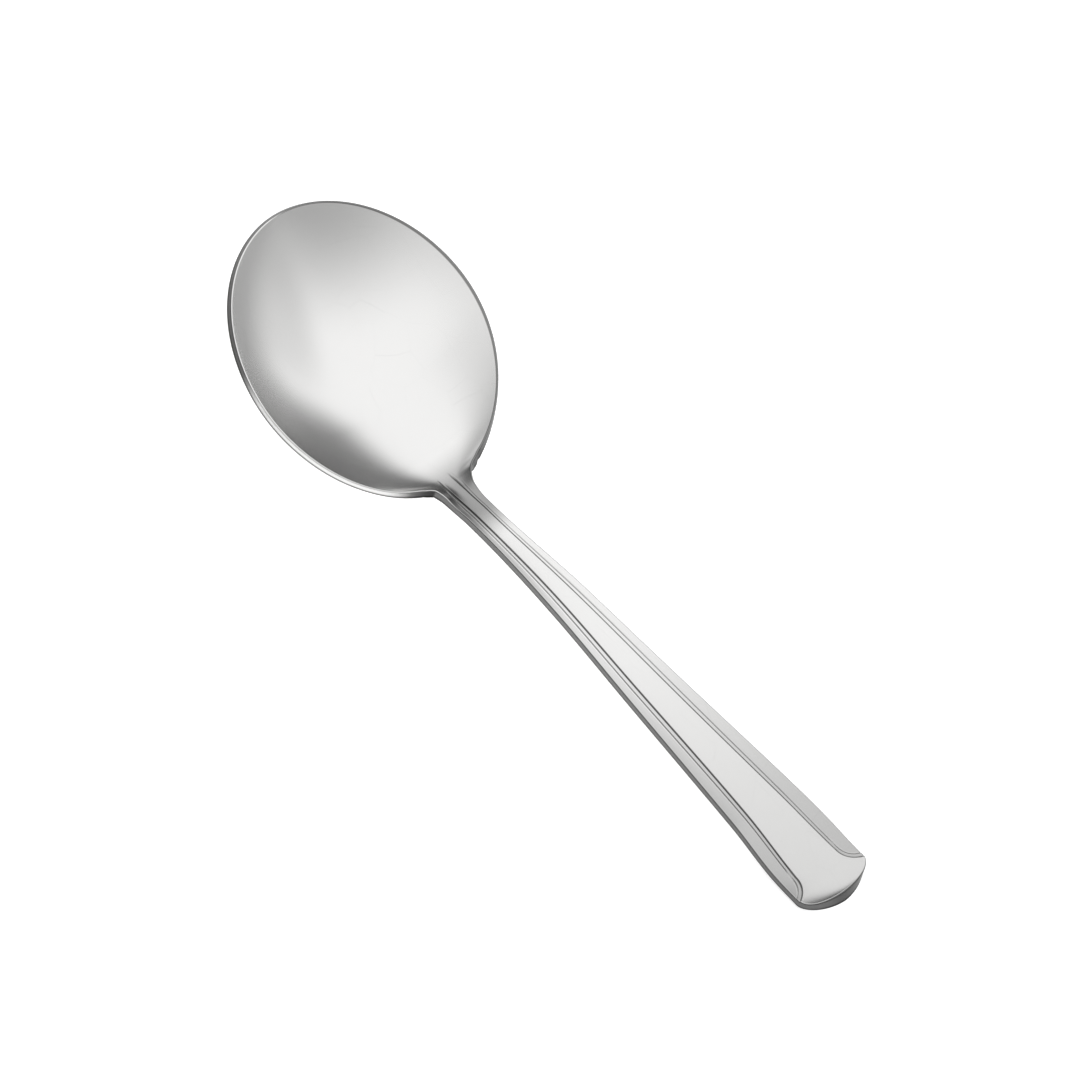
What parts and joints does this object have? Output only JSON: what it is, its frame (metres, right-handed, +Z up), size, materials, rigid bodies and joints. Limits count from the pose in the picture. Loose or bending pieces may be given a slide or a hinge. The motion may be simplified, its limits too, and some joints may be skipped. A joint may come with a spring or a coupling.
{
  "type": "soup spoon",
  "caption": "Round-bowl soup spoon in satin stainless steel, with a narrow neck and a flared handle that has a raised centre panel between two lower side panels.",
  "frame": {"origin": "centre of the bounding box's bottom face: the table under the middle of the spoon as it lies at rest", "axes": "+X along the spoon from the bowl to the handle's end, +Y across it, +Z up, out of the open bowl"},
  "size_m": [0.154, 0.0506, 0.0199],
  "materials": {
    "bowl_steel": "fine satin, tumbled, slightly brighter on the rim",
    "neck_steel": "fine satin",
    "handle_steel": "fine satin, brighter along the coined panel edges",
    "end_steel": "fine satin"
  },
  "bodies": {
    "root": {"bowl": "bowl_steel", "neck": "neck_steel", "handle": "handle_steel", "handle_end": "end_steel"}
  },
  "joints": []
}
